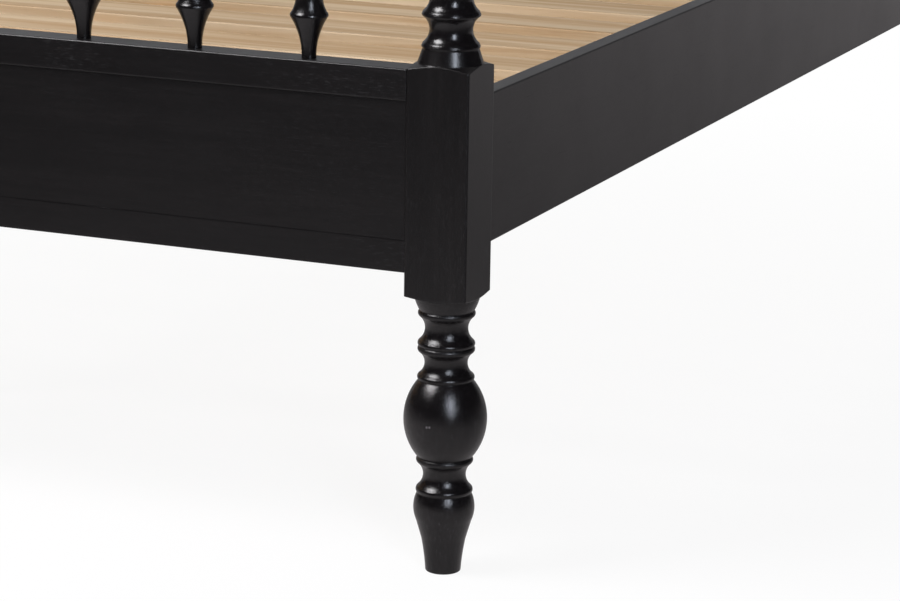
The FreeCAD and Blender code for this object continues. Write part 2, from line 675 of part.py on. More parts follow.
def spindle_bores(body, name, level, upwards):
    """A row of blind bores for the spindles' round tenons."""
    sketch = body.newObject("Sketcher::SketchObject", f"BoreCentre_{name}")
    support = [item for item in body.Origin.OriginFeatures if item.Role == "XY_Plane"][0]
    sketch.AttachmentSupport = [(support, "")]
    sketch.MapMode = "FlatFace"
    bind(sketch, AttachmentOffset__Base__z=level)
    first = f"(spindle_end_offset - {POST_X})"
    radius = "spindle_tenon_radius + joint_clearance"
    centre = Vector(value(first), value(RAIL_MIDDLE), 0)
    sketch.addGeometry(Part.Circle(centre, Vector(0, 0, 1), value(radius)), False)
    rules = [
        Sketcher.Constraint("DistanceX", -1, 1, 0, 3, centre.x),
        Sketcher.Constraint("DistanceY", -1, 1, 0, 3, centre.y),
        Sketcher.Constraint("Radius", 0, value(radius)),
    ]
    sketch.addConstraint(rules)
    for index, text in enumerate((first, RAIL_MIDDLE, radius)):
        sketch.setExpression(f"Constraints[{index}]", bound(text))
    bore = body.newObject("PartDesign::Pocket", f"Bore_{name}")
    bore.Profile = sketch
    bore.Reversed = upwards
    bind(bore, Length="spindle_tenon_length + joint_depth_gap")
    row_of_bores = body.newObject("PartDesign::LinearPattern", f"Bores_{name}")
    row_of_bores.Originals = [bore]
    row_of_bores.Direction = (sketch, ["H_Axis"])
    bind(row_of_bores, Occurrences="spindle_count", Length=f"2 * ({POST_X} - spindle_end_offset)")
    body.Tip = row_of_bores


def grooved(front, back, low, high, opening):
    """A rail's section with rounded outer edges and the panel's groove in its top or its underside."""
    groove_front = f"({TONGUE_FRONT} - joint_clearance)"
    groove_back = f"({TONGUE_BACK} + joint_clearance)"
    section = rounded((front, back), (low, high), ["rail_arris"] * 4)
    if opening == "underside":
        mouth, depth, near, far = low, f"({low} + {GROOVE_DEPTH})", groove_front, groove_back
    else:
        mouth, depth, near, far = high, f"({high} - {GROOVE_DEPTH})", groove_back, groove_front
    groove = [(near, mouth, None), (near, depth, None), (far, depth, None), (far, mouth, None)]
    # a section runs along its underside after corner 1 and back along its top after corner 5
    place = 1 if opening == "underside" else 5
    return section[:place] + groove + section[place:]


def spindle_rail(end):
    body = doc.addObject("PartDesign::Body", f"SpindleRail_{end}")
    section = grooved(RAIL_FRONT, RAIL_BACK, PANEL_TOP, BOARD_TOP, "underside")
    sketch = body_sketch(body, f"SpindleRailSection_{end}", "YZ_Plane", [section])
    pad(body, sketch, f"SpindleRailBar_{end}", BETWEEN_POSTS)
    tenon_bar(body, end, "spindle", f"SpindleRail_{end}")
    spindle_bores(body, f"SpindleRail_{end}", BOARD_TOP, False)
    return finish(set_down(body, end), f"{end}board_spindle_rail")


def lower_rail(end):
    body = doc.addObject("PartDesign::Body", f"LowerRail_{end}")
    section = grooved(LOWER_FRONT, LOWER_BACK, BOARD_BOTTOM, PANEL_BOTTOM, "top")
    sketch = body_sketch(body, f"LowerRailSection_{end}", "YZ_Plane", [section])
    pad(body, sketch, f"LowerRailBar_{end}", BETWEEN_POSTS)
    tenon_bar(body, end, "lower", f"LowerRail_{end}")
    depth = f"{BEYOND} + screw_length - steel_thickness + joint_depth_gap"
    bores = []
    for hand in (-1, 1):
        start = (hanger_screw_x(hand), f"{LOWER_BACK} + {BEYOND}", HANGER_SCREW_Z)
        name = f"HangerScrewBore{hand + 1}_{end}"
        bores.append(rod(name, "screw_radius + joint_clearance", start, depth, (0, -1, 0)))
    rail = cut(f"LowerRailBored_{end}", body, bores)
    return finish(set_down(rail, end), f"{end}board_lower_rail")


def top_rail(end):
    body = doc.addObject("PartDesign::Body", f"TopRail_{end}")
    low, high = top_rail_bottom(end), top_rail_top(end)
    radii = ["rail_arris", "rail_arris", "top_rail_round", "top_rail_round"]
    section = rounded((RAIL_FRONT, RAIL_BACK), (low, high), radii)
    sketch = body_sketch(body, f"TopRailSection_{end}", "YZ_Plane", [section])
    pad(body, sketch, f"TopRailBar_{end}", BETWEEN_POSTS)
    tenon_bar(body, end, "top", f"TopRail_{end}")
    spindle_bores(body, f"TopRail_{end}", low, True)
    return finish(set_down(body, end), f"{end}board_top_rail")


def panel(end):
    half = f"({BETWEEN_POSTS} / 2)"
    wide = f"({half} - joint_clearance)"
    low, high = f"({PANEL_BOTTOM} + joint_clearance)", f"({PANEL_TOP} - joint_clearance)"
    tongue = (TONGUE_FRONT, TONGUE_BACK)
    field = box(f"PanelField_{end}", (minus(wide), wide), (PANEL_FRONT, PANEL_BACK), (low, high))
    reach = f"({half} + tongue_length)"
    ends = box(f"PanelEndTongue_{end}", (minus(reach), reach), tongue, (low, high))
    edges_z = (f"{PANEL_BOTTOM} - tongue_length", f"({PANEL_TOP} + tongue_length)")
    edges = box(f"PanelEdgeTongue_{end}", (minus(wide), wide), tongue, edges_z)
    return finish(set_down(joined(f"Panel_{end}", [field, ends, edges]), end), f"{end}board_panel")


# ---------------------------------------------------------------- spindles


def spindle_profile(end):
    """Bobbin spindle from its lower tenon up; the top trumpet mirrors the bottom one."""
    bobbins = int(value(f"{end}_bobbins"))
    shoulder_radius = "(spindle_ring_radius - spindle_ring_fall)"
    cove = f"-({shoulder_radius} - spindle_neck_radius)"
    total = spindle_length(end)
    corners = [
        ("0", "-spindle_tenon_length", None),
        ("spindle_tenon_radius", "-spindle_tenon_length", None),
        ("spindle_tenon_radius", "0", None),
        ("trumpet_radius", "0", "-trumpet_bow"),
    ]
    for k in range(bobbins):
        ring = f"(trumpet_length + {k} * spindle_pitch)"
        corners.append(("spindle_ring_radius", ring, "spindle_ring_bow"))
        corners.append((shoulder_radius, f"{ring} + spindle_ring_height", cove))
    last = f"({total} - trumpet_length)"
    corners.append(("spindle_ring_radius", last, "-trumpet_bow"))
    corners.append(("trumpet_radius", total, None))
    corners.append(("spindle_tenon_radius", total, None))
    corners.append(("spindle_tenon_radius", f"{total} + spindle_tenon_length", None))
    corners.append(("0", f"{total} + spindle_tenon_length", None))
    return corners


def spindles(end):
    sketch = turning_sketch(f"SpindleProfile_{end}", spindle_profile(end))
    count = int(value("spindle_count"))
    pitch = f"(2 * ({POST_X} - spindle_end_offset) / (spindle_count - 1))"
    for k in range(count):
        spindle = turned(f"Spindle_{end}_{k + 1}", sketch)
        steps = k if end == "foot" else count - 1 - k
        set_down(spindle, end, f"(spindle_end_offset - {POST_X} + {steps} * {pitch})")
        bind(spindle, Placement__Base__z=BOARD_TOP)
        on_line = f"({POST_Y} - {RAIL_MIDDLE})"
        bind(spindle, Placement__Base__y=on_line if end == "head" else minus(on_line))
        finish(spindle, f"{end}board_spindle_{k + 1:02d}")


# ---------------------------------------------------------------- side rails


def side_rail(side):
    low_x, high_x = INSIDE_HALF, f"({INSIDE_HALF} + side_rail_thickness)"
    body = doc.addObject("PartDesign::Body", f"SideRail_{side}")
    across = (low_x, high_x) if side == "right" else (minus(high_x), minus(low_x))
    section = rounded(across, (SIDE_BOTTOM, SIDE_TOP), ["rail_arris"] * 4)
    sketch = body_sketch(body, f"SideRailSection_{side}", "XZ_Plane", [section])
    pad(body, sketch, f"SideRailBar_{side}", SIDE_LENGTH)
    bores = [rail_screw_bore(side, end, k) for end in ("foot", "head") for k in range(4)]
    for k in range(int(value("ledger_screw_count"))):
        bores.append(ledger_screw_bore(side, k, "Rail", "joint_clearance"))
    return finish(cut(f"SideRailBored_{side}", body, bores), f"side_rail_{side}")


def sideways(side, text):
    return text if side == "right" else minus(text)


def lengthways(end, text):
    return text if end == "head" else minus(text)


def rail_screw_place(side, end, k):
    """Axis of one of four screws through an angle's long leg, on the side rail's inner face."""
    along = f"({SIDE_LENGTH} / 2 - {'angle_screw_near' if k % 2 else 'angle_screw_far'})"
    return sideways(side, INSIDE_HALF), lengthways(end, along), BOLT_LOW if k < 2 else BOLT_HIGH


def rail_screw_bore(side, end, k):
    x, y, z = rail_screw_place(side, end, k)
    towards = (1 if side == "right" else -1, 0, 0)
    start = (f"{x} - {sideways(side, BEYOND)}", y, z)
    depth = f"{BEYOND} + screw_length + joint_depth_gap - steel_thickness"
    return rod(f"ScrewBore_{side}_{end}_{k}", "screw_radius + joint_clearance", start, depth, towards)


def angle(side, end):
    """Bent steel angle: one leg on the post, the longer one on the side rail, bored for its screws."""
    name = f"{side}_{end}"
    face = f"({SIDE_LENGTH} / 2)"
    x_out, x_in = INSIDE_HALF, f"({INSIDE_HALF} - angle_width)"
    across = (x_in, x_out) if side == "right" else (minus(x_out), minus(x_in))
    plate_x = (f"({x_out} - steel_thickness)", x_out)
    plate_x = plate_x if side == "right" else (minus(plate_x[1]), minus(plate_x[0]))
    near = (f"({face} - steel_thickness)", face)
    long = (f"({face} - angle_leg)", face)
    if end == "foot":
        near = (minus(near[1]), minus(near[0]))
        long = (minus(long[1]), minus(long[0]))
    height = (ANGLE_BOTTOM, f"({ANGLE_BOTTOM} + angle_height)")
    legs = [box(f"AnglePost_{name}", across, near, height), box(f"AngleRail_{name}", plate_x, long, height)]
    through = f"steel_thickness + 2 * {BEYOND}"
    tools = []
    for level, z in (("Low", BOLT_LOW), ("High", BOLT_HIGH)):
        x = sideways(side, f"({POST_X} + {BOLT_X})")
        start = (x, lengthways(end, f"({face} - steel_thickness - {BEYOND})"), z)
        towards = (0, 1 if end == "head" else -1, 0)
        tools.append(rod(f"AngleBolt{level}_{name}", "bolt_radius + hole_play", start, through, towards))
    for k in range(4):
        x, y, z = rail_screw_place(side, end, k)
        start = (f"{x} - {sideways(side, f'(steel_thickness + {BEYOND})')}", y, z)
        towards = (1 if side == "right" else -1, 0, 0)
        tools.append(rod(f"AngleScrew{k}_{name}", "screw_radius + hole_play", start, through, towards))
    return cut(f"Angle_{name}", joined(f"AngleLegs_{name}", legs), tools)


def headed(name, start, towards, head, shank):
    """A screw whose head sits on a plane at start and whose shank goes on along towards."""
    back = [minus(f"{towards[i]} * {head[1]}") for i in range(3)]
    head_start = [f"{start[i]} + {back[i]}" for i in range(3)]
    cap = rod(name + "Head", head[0], head_start, head[1], towards)
    stem = rod(name + "Shank", shank[0], start, shank[1], towards)
    return joined(name, [cap, stem])


def angle_bolt(name, start, towards):
    """A bolt with a flat round head and a six-sided socket."""
    head, shank = ("bolt_head_radius", "bolt_head_height"), ("bolt_radius", "bolt_length + steel_thickness")
    socket = doc.addObject("Part::Prism", name + "Socket")
    socket.Polygon = 6
    socket.Placement = Placement(Vector(), Rotation(Vector(0, 0, 1), Vector(*towards)))
    bind(socket, Circumradius="bolt_socket_radius", Height=f"bolt_socket_depth + {BEYOND}")
    mouth = [f"{start[i]} + {minus(f'{towards[i]} * (bolt_head_height + {BEYOND})')}" for i in range(3)]
    bind(socket, Placement__Base__x=mouth[0], Placement__Base__y=mouth[1], Placement__Base__z=mouth[2])
    return cut(name + "Socketed", headed(name, start, towards, head, shank), [socket])


def angle_fasteners():
    """Bolts, threaded inserts and wood screws of the four steel angles."""
    bolts, inserts, screws = [], [], []
    face = f"({SIDE_LENGTH} / 2)"
    x_bolt = f"({POST_X} + {BOLT_X})"
    for side in ("left", "right"):
        for end in ("foot", "head"):
            name = f"{side}_{end}"
            towards = (0, 1 if end == "head" else -1, 0)
            for level, z in (("Low", BOLT_LOW), ("High", BOLT_HIGH)):
                start = (sideways(side, x_bolt), lengthways(end, f"({face} - steel_thickness)"), z)
                bolts.append(angle_bolt(f"Bolt{level}_{name}", start, towards))
                mouth = (sideways(side, x_bolt), lengthways(end, face), z)
                sleeve = rod(f"Sleeve{level}_{name}", "insert_radius", mouth, "insert_length", towards)
                play = "bolt_radius + thread_clearance"
                thread = rod(f"Thread{level}_{name}", play, mouth, "insert_length", towards)
                inserts.append(cut(f"Insert{level}_{name}", sleeve, [thread]))
            inward = (1 if side == "right" else -1, 0, 0)
            for k in range(4):
                x_face, y, z = rail_screw_place(side, end, k)
                start = (f"{x_face} - {sideways(side, 'steel_thickness')}", y, z)
                screws.append(wood_screw(f"RailScrew{k}_{name}", start, inward, "screw_length"))
    finish(together("AngleBolts", bolts), "rail_angle_bolts")
    finish(together("PostInserts", inserts), "post_threaded_inserts")
    finish(together("AngleScrews", screws), "rail_angle_screws")


def wood_screw(name, start, towards, length):
    head, shank = ("screw_head_radius", "screw_head_height"), ("screw_radius", length)
    return headed(name, start, towards, head, shank)


# ---------------------------------------------------------------- slatted base


def ledger(side):
    outer, inner = INSIDE_HALF, f"({INSIDE_HALF} - ledger_width)"
    across = (inner, outer) if side == "right" else (minus(outer), minus(inner))
    body = doc.addObject("PartDesign::Body", f"Ledger_{side}")
    section = rounded(across, (LEDGER_BOTTOM, SLAT_BOTTOM), ["rail_arris"] * 4)
    sketch = body_sketch(body, f"LedgerSection_{side}", "XZ_Plane", [section])
    pad(body, sketch, f"LedgerBar_{side}", f"{SIDE_LENGTH} - 2 * ledger_end_gap")
    bores = [slat_screw_bore(side, k) for k in range(int(value("slat_count")))]
    for k in range(int(value("ledger_screw_count"))):
        bores.append(ledger_screw_bore(side, k, "Ledger", "hole_play"))
        seat = ledger_screw_place(side, k)
        inwards = (-1 if side == "right" else 1, 0, 0)
        bores.append(rod(f"LedgerSink_{side}_{k}", "screw_head_radius + hole_play", seat, BEYOND, inwards))
    return finish(cut(f"LedgerBored_{side}", body, bores), f"slat_ledger_{side}")


def ledger_screw_place(side, k):
    """Seat of a screw through the ledger's inner face, halfway between two slats."""
    gaps = "(slat_count - 1)"
    step = f"floor({gaps} / ledger_screw_count)"
    first = f"floor(({gaps} - (ledger_screw_count - 1) * {step}) / 2)"
    y = f"({slat_y(f'({first} + {k} * {step} + 0.5)')})"
    x = f"({INSIDE_HALF} - ledger_width + screw_head_height + joint_clearance)"
    return sideways(side, x), y, f"({LEDGER_BOTTOM} + ledger_height / 2)"


def ledger_screw_bore(side, k, piece, play):
    """The screw's bore, right through the ledger and blind in the side rail."""
    x, y, z = ledger_screw_place(side, k)
    start = (f"{x} - {sideways(side, BEYOND)}", y, z)
    towards = (1 if side == "right" else -1, 0, 0)
    depth = f"{BEYOND} + ledger_screw_length + joint_depth_gap"
    return rod(f"{piece}ScrewBore_{side}_{k}", f"screw_radius + {play}", start, depth, towards)


def slat_y(k):
    end_room = "(ledger_end_gap + slat_inset + slat_width / 2)"
    pitch = f"(({SIDE_LENGTH} - 2 * {end_room}) / (slat_count - 1))"
    return f"({end_room} - {SIDE_LENGTH} / 2 + {k} * {pitch})"


def slat_screw_x(side):
    return sideways(side, f"({INSIDE_HALF} - ledger_width / 2 - slat_end_gap / 2)")


def slat_screw_bore(side, k):
    depth = "(slat_screw_length + joint_depth_gap)"
    start = (slat_screw_x(side), slat_y(k), f"{SCREW_SEAT} - {depth}")
    return rod(f"LedgerBore_{side}_{k}", "screw_radius + joint_clearance", start, f"{depth} + {BEYOND}")


def slats():
    """Slats with eased edges, each bored for its two screws; all in one node."""
    body = doc.addObject("PartDesign::Body", "SlatBody")
    half = "(slat_width / 2)"
    section = rounded((minus(half), half), (SLAT_BOTTOM, SLAT_TOP), ["slat_round"] * 4)
    sketch = body_sketch(body, "SlatSection", "YZ_Plane", [section])
    pad(body, sketch, "SlatBar", f"2 * ({INSIDE_HALF} - slat_end_gap)")
    bores = []
    for side in ("left", "right"):
        x = slat_screw_x(side)
        through = (x, "0", f"{SLAT_BOTTOM} - {BEYOND}")
        length = f"slat_thickness + 2 * {BEYOND}"
        bores.append(rod(f"SlatBore_{side}", "screw_radius + hole_play", through, length))
        seat = (x, "0", SCREW_SEAT)
        length = f"screw_head_height + 2 * {BEYOND}"
        bores.append(rod(f"SlatSink_{side}", "screw_head_radius + hole_play", seat, length))
    slat = cut("Slat", body, bores)
    row_of_slats = []
    for k in range(int(value("slat_count"))):
        copy = doc.addObject("Part::Compound", f"Slat_{k + 1}")
        copy.Links = [slat]
        bind(copy, Placement__Base__y=slat_y(k))
        row_of_slats.append(copy)
    finish(together("Slats", row_of_slats), "slats")


def base_screws():
    """Screws through the slats into the ledgers, and through the ledgers into the side rails."""
    slat_screws, ledger_screws = [], []
    for side in ("left", "right"):
        for k in range(int(value("slat_count"))):
            seat = (slat_screw_x(side), slat_y(k), SCREW_SEAT)
            slat_screws.append(wood_screw(f"SlatScrew_{side}_{k}", seat, (0, 0, -1), "slat_screw_length"))
        outwards = (1 if side == "right" else -1, 0, 0)
        for k in range(int(value("ledger_screw_count"))):
            seat = ledger_screw_place(side, k)
            ledger_screws.append(wood_screw(f"LedgerScrew_{side}_{k}", seat, outwards, "ledger_screw_length"))
    finish(together("SlatScrews", slat_screws), "slat_screws")
    finish(together("LedgerScrews", ledger_screws), "ledger_screws")


def beam_half():
    """Half the beam's length: to the back plates of its hangers, which lie on the lower rails."""
    return f"({POST_Y} + {minus(LOWER_BACK)} - steel_thickness - beam_end_gap)"


def leg_y(k):
    return f"({k} - (leg_count - 1) / 2) * leg_spacing"


def beam():
    half_width = "(beam_width / 2)"
    body = doc.addObject("PartDesign::Body", "Beam")
    section = rounded((minus(half_width), half_width), (BEAM_BOTTOM, SLAT_BOTTOM), ["rail_arris"] * 4)
    sketch = body_sketch(body, "BeamSection", "XZ_Plane", [section])
    pad(body, sketch, "BeamBar", f"2 * {beam_half()}")
    bores = []
    for k in range(int(value("leg_count"))):
        depth = f"hanger_bolt_half + joint_depth_gap + {BEYOND}"
        start = ("0", leg_y(k), f"{BEAM_BOTTOM} - {BEYOND}")
        bores.append(rod(f"BeamBore_{k}", "hanger_bolt_radius + joint_clearance", start, depth))
    return finish(cut("BeamBored", body, bores), "centre_beam")


def beam_hanger(end):
    """Steel stirrup that carries the end of the beam, screwed to the lower rail's inner face."""
    back = f"({POST_Y} + {minus(LOWER_BACK)})"
    inner = "(beam_width / 2 + joint_clearance)"
    outer = f"({inner} + steel_thickness)"
    wide = f"({outer} + hanger_flange)"
    low = f"({BEAM_BOTTOM} - steel_thickness)"
    high = f"({BEAM_BOTTOM} + hanger_height)"
    plate_y = (f"({back} - steel_thickness)", back)
    depth_y = (f"({back} - hanger_depth)", back)
    if end == "foot":
        plate_y = (minus(plate_y[1]), minus(plate_y[0]))
        depth_y = (minus(depth_y[1]), minus(depth_y[0]))
    plates = [
        box(f"HangerBack_{end}", (minus(wide), wide), plate_y, (low, high)),
        box(f"HangerFloor_{end}", (minus(outer), outer), depth_y, (low, BEAM_BOTTOM)),
        box(f"HangerLeft_{end}", (minus(outer), minus(inner)), depth_y, (low, high)),
        box(f"HangerRight_{end}", (inner, outer), depth_y, (low, high)),
    ]
    tools = []
    for hand in (-1, 1):
        y = lengthways(end, f"({back} - steel_thickness - {BEYOND})")
        through = f"steel_thickness + 2 * {BEYOND}"
        towards = (0, 1 if end == "head" else -1, 0)
        start = (hanger_screw_x(hand), y, HANGER_SCREW_Z)
        tools.append(rod(f"HangerBore{hand + 1}_{end}", "screw_radius + hole_play", start, through, towards))
    return finish(cut(f"Hanger_{end}", joined(f"HangerPlates_{end}", plates), tools), f"beam_hanger_{end}")


def hanger_screw_x(hand):
    return f"({hand} * (beam_width / 2 + steel_thickness + hanger_flange / 2))"


def hanger_screws():
    screws = []
    for end in ("foot", "head"):
        for hand in (-1, 1):
            y = lengthways(end, f"({POST_Y} + {minus(LOWER_BACK)} - steel_thickness)")
            start = (hanger_screw_x(hand), y, HANGER_SCREW_Z)
            towards = (0, 1 if end == "head" else -1, 0)
            screws.append(wood_screw(f"HangerScrew{hand + 1}_{end}", start, towards, "screw_length"))
    finish(together("HangerScrews", screws), "beam_hanger_screws")


def beam_leg(k):
    """Square leg that tapers to its foot, bored for its bolt above and its drive-in nut below."""
    top_half, low_half = "(leg_side / 2)", "(leg_foot_side / 2)"
    sections = []
    for name, half, level in (("Low", low_half, "leg_lift"), ("High", top_half, BEAM_BOTTOM)):
        sketch = doc.addObject("Sketcher::SketchObject", f"LegSection{name}_{k}")
        outline(sketch, rounded((minus(half), half), (minus(half), half), ["rail_arris"] * 4))
        bind(sketch, Placement__Base__z=level)
        sections.append(sketch)
    loft = doc.addObject("Part::Loft", f"LegBlank_{k}")
    loft.Sections = sections
    loft.Solid = True
    loft.Ruled = True
    mouth = ("0", "0", f"leg_lift - {BEYOND}")
    nut_depth = f"{BEYOND} + nut_length + joint_depth_gap"
    screw_depth = f"{BEYOND} + leveller_screw + leveller_room"
    tools = [
        rod(f"LegNutBore_{k}", "nut_radius + joint_clearance", mouth, nut_depth),
        rod(f"LegScrewBore_{k}", "bolt_radius + hole_play", mouth, screw_depth),
    ]
    depth = "hanger_bolt_half + joint_depth_gap"
    top = ("0", "0", f"{BEAM_BOTTOM} - ({depth})")
    tools.append(rod(f"LegBoltBore_{k}", "hanger_bolt_radius + joint_clearance", top, f"{depth} + {BEYOND}"))
    leg = cut(f"Leg_{k}", loft, tools)
    bind(leg, Placement__Base__y=leg_y(k))
    return finish(leg, f"centre_leg_{k + 1}")


def leveller(k):
    """Round pad with a screw that turns in the leg's nut."""
    rim = "leveller_round"
    corners = [
        ("0", "0", None),
        (f"leveller_radius - {rim}", "0", f"{QUARTER_BOW} * {rim}"),
        ("leveller_radius", rim, None),
        ("leveller_radius", f"leveller_height - {rim}", f"{QUARTER_BOW} * {rim}"),
        (f"leveller_radius - {rim}", "leveller_height", None),
        ("bolt_radius", "leveller_height", None),
        ("bolt_radius", "leveller_height + leveller_screw", None),
        ("0", "leveller_height + leveller_screw", None),
    ]
    pad_and_screw = turned(f"Leveller_{k}", turning_sketch(f"LevellerProfile_{k}", corners))
    bind(pad_and_screw, Placement__Base__y=leg_y(k))
    return finish(pad_and_screw, f"leveller_{k + 1}")


def leg_fasteners():
    """Drive-in nuts of the levellers and double-ended bolts of the beam legs and the turned feet."""
    nuts, leg_bolts, foot_bolts = [], [], []
    for k in range(int(value("leg_count"))):
        y = leg_y(k)
        flange = rod(f"NutFlange_{k}", "nut_flange_radius", ("0", y, "leg_lift - nut_flange"), "nut_flange")
        barrel = rod(f"NutBarrel_{k}", "nut_radius", ("0", y, "leg_lift"), "nut_length")
        start = ("0", y, f"leg_lift - {BEYOND}")
        thread = rod(f"NutThread_{k}", "bolt_radius + thread_clearance", start, f"nut_length + 2 * {BEYOND}")
        nuts.append(cut(f"Nut_{k}", joined(f"NutBlank_{k}", [flange, barrel]), [thread]))
        bottom = ("0", y, f"{BEAM_BOTTOM} - hanger_bolt_half")
        leg_bolts.append(rod(f"LegBolt_{k}", "hanger_bolt_radius", bottom, "2 * hanger_bolt_half"))
    for side in ("left", "right"):
        for end in ("foot", "head"):
            start = (sideways(side, POST_X), lengthways(end, POST_Y), "foot_height - hanger_bolt_half")
            name = f"FootBolt_{side}_{end}"
            foot_bolts.append(rod(name, "hanger_bolt_radius", start, "2 * hanger_bolt_half"))
    finish(together("LevellerNuts", nuts), "leveller_nuts")
    finish(together("LegBolts", leg_bolts), "centre_leg_bolts")
    finish(together("FootBolts", foot_bolts), "turned_foot_bolts")


# ---------------------------------------------------------------- the whole bed

foot_sketch = turning_sketch("FootProfile", foot_profile())
for end in ("foot", "head"):
    for side in ("left", "right"):
        turned_foot(end, side, foot_sketch)
        post(end, side)
    spindle_rail(end)
    lower_rail(end)
    top_rail(end)
    panel(end)
    spindles(end)
    beam_hanger(end)
for side in ("left", "right"):
    side_rail(side)
    ledger(side)
angles = [angle(side, end) for side in ("left", "right") for end in ("foot", "head")]
finish(together("RailAngles", angles), "rail_angles")
angle_fasteners()
slats()
base_screws()
beam()
hanger_screws()
for k in range(int(value("leg_count"))):
    beam_leg(k)
    leveller(k)
leg_fasteners()

doc.recompute()

# ---------------------------------------------------------------- checks and export

faults = [thing.Label for thing in doc.Objects if {"Invalid", "Error"} & set(thing.State)]
faults += [thing.Label for thing in parts if thing.Shape.isNull() or not thing.Shape.isValid()]
faults += [result.Label for result, base in cuts if result.Shape.Volume > base.Shape.Volume - 1]
for thing in doc.Objects:
    if thing.TypeId in ("PartDesign::Pocket", "PartDesign::Groove", "PartDesign::LinearPattern"):
        earlier = thing.getParentGeoFeatureGroup().Group
        solids = [item for item in earlier if item.isDerivedFrom("PartDesign::Feature")]
        position = solids.index(thing)
        if position and thing.Shape.Volume > solids[position - 1].Shape.Volume - 1:
            faults.append(f"{thing.Label} cuts nothing")
if faults:
    raise RuntimeError(f"failed objects: {faults}")

os.makedirs("parts", exist_ok=True)
for thing in parts:
    thing.Shape.exportStep(f"parts/{thing.Label}.step")
print(len(parts), "nodes,", sum(len(thing.Shape.Solids) for thing in parts), "solids")
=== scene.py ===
"""Looks of the spindle bed: black lacquer over open-grained wood, a pale slatted base, studio light.

Metres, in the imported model's own frame: origin on the floor under the middle of the bed, +Y to the head,
+X to the right of someone who stands at the foot. The photographed corner is the foot end at +X.
"""

import math

import bpy
from mathutils import Matrix, Vector


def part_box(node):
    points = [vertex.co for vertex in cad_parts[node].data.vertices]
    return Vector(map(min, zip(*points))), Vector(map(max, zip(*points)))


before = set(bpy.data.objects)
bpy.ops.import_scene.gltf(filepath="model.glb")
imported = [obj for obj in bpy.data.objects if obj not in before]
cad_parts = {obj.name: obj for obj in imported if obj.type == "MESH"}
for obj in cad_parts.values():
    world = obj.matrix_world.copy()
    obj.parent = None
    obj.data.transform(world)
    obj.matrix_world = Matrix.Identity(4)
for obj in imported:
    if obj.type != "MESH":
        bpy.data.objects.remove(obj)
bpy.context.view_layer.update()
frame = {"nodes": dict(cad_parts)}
nodes = frame["nodes"]
scene = bpy.context.scene

# ---------------------------------------------------------------- groups of nodes by how they look


def starting(*beginnings):
    return [name for name in nodes if name.startswith(beginnings)]


def ending(end):
    return [name for name in nodes if name.endswith(end)]


def numbered(beginning):
    return [name for name in starting(beginning) if name[-1].isdigit()]


FEET = starting("turned_foot_foot", "turned_foot_head")
POSTS = starting("post_foot", "post_head")
SPINDLES = [name for name in nodes if "_spindle_" in name and not name.endswith("rail")]
LOWER_RAILS = ending("board_lower_rail")
PANELS = ending("board_panel")
UPPER_RAILS = [name for name in nodes if "board_" in name and name not in SPINDLES + LOWER_RAILS + PANELS]
SIDE_RAILS = starting("side_rail")
MIDDLE_LEGS = numbered("centre_leg_")
LEVELLERS = numbered("leveller_")
PINE_ACROSS = ["slats"]
PINE_ALONG = ["slat_ledger_left", "slat_ledger_right", "centre_beam"]

# ---------------------------------------------------------------- colours and textures of the materials

BLACK_DEEP = (0.0033, 0.0027, 0.0030)
BLACK_WARM = (0.0062, 0.0051, 0.0053)
SCUFF_COLOUR = (0.0170, 0.0160, 0.0165)
NICK_COLOUR = (0.11, 0.10, 0.105)
PINE_PALE = (0.66, 0.50, 0.32)
PINE_DARK = (0.50, 0.32, 0.16)
ZINC_DULL = (0.52, 0.53, 0.54)
ZINC_BRIGHT = (0.68, 0.68, 0.67)
OXIDE_BLACK = (0.03, 0.03, 0.031)
OXIDE_WORN = (0.055, 0.053, 0.05)

GRAINS = {  # noise across and along the grain, per metre, then its detail, roughness and distortion
    "pores": (900, 22, 2, 0.6, 0.0),
    "figure": (45, 2.2, 4, 0.55, 0.6),
    "streaks": (260, 16, 3, 0.6, 0.0),
    "scuff dashes": (640, 110, 2, 0.55, 0.0),
    "scuff patches": (11, 5, 2, 0.5, 0.0),
    "growth rings": (38, 1.3, 3, 0.45, 1.2),
    "fibres": (1400, 30, 2, 0.5, 0.0),
    "board tone": (9, 0.7, 1, 0.5, 0.0),
    "rolling lines": (1800, 60, 2, 0.5, 0.0),
}
CLOUDS = {  # even noise: per metre, detail, roughness
    "orange peel": (700, 2, 0.5),
    "smears": (9, 5, 0.6),
    "zinc": (70, 4, 0.5),
    "oxide": (120, 3, 0.5),
}

# Ranges of a noise, then what they become where that isn't 0 to 1.
PORE_OPENING = (0.62, 0.74)
FIGURE_TONE = (0.3, 0.7)
STREAK_TONE = (0.35, 0.65, 0.3, 1.3)
DASH_OPENING = (0.56, 0.72)
PATCH_OPENING = (0.5, 0.68)
PATCH_LEAST = 0.15  # what is left of the scuffs between two patches
WEAR_BY_POSTS = (0.50, 0.66, 0.0, 0.14)  # from the bed's middle, in metres; added to the patches
SMEAR_RANGE = (0.3, 0.7)
SMEAR_SHINE = (-0.02, 0.03)  # what smears add to the roughness
PORE_DULLNESS = 0.05  # what pores add to it
FIGURE_RELIEF = 0.5  # against 1 for the depth of a pore
RING_TONE = (0.35, 0.65)
FIBRE_TONE = (0.25, 0.75, 0.75, 1.15)
BOARD_TONE = (0.3, 0.7, -0.08, 0.08)
PIECE_TONE = (0, 1, 0.94, 1.04)
PINE_ROUGHNESS = (0.2, 0.8, 0.55, 0.7)
ZINC_TONE = (0.35, 0.65)
ZINC_ROUGHNESS = (0.3, 0.7, 0.28, 0.42)
OXIDE_TONE = (0.3, 0.7)
OXIDE_ROUGHNESS = (0.3, 0.7, 0.35, 0.5)
OXIDE_METALLIC = 0.6

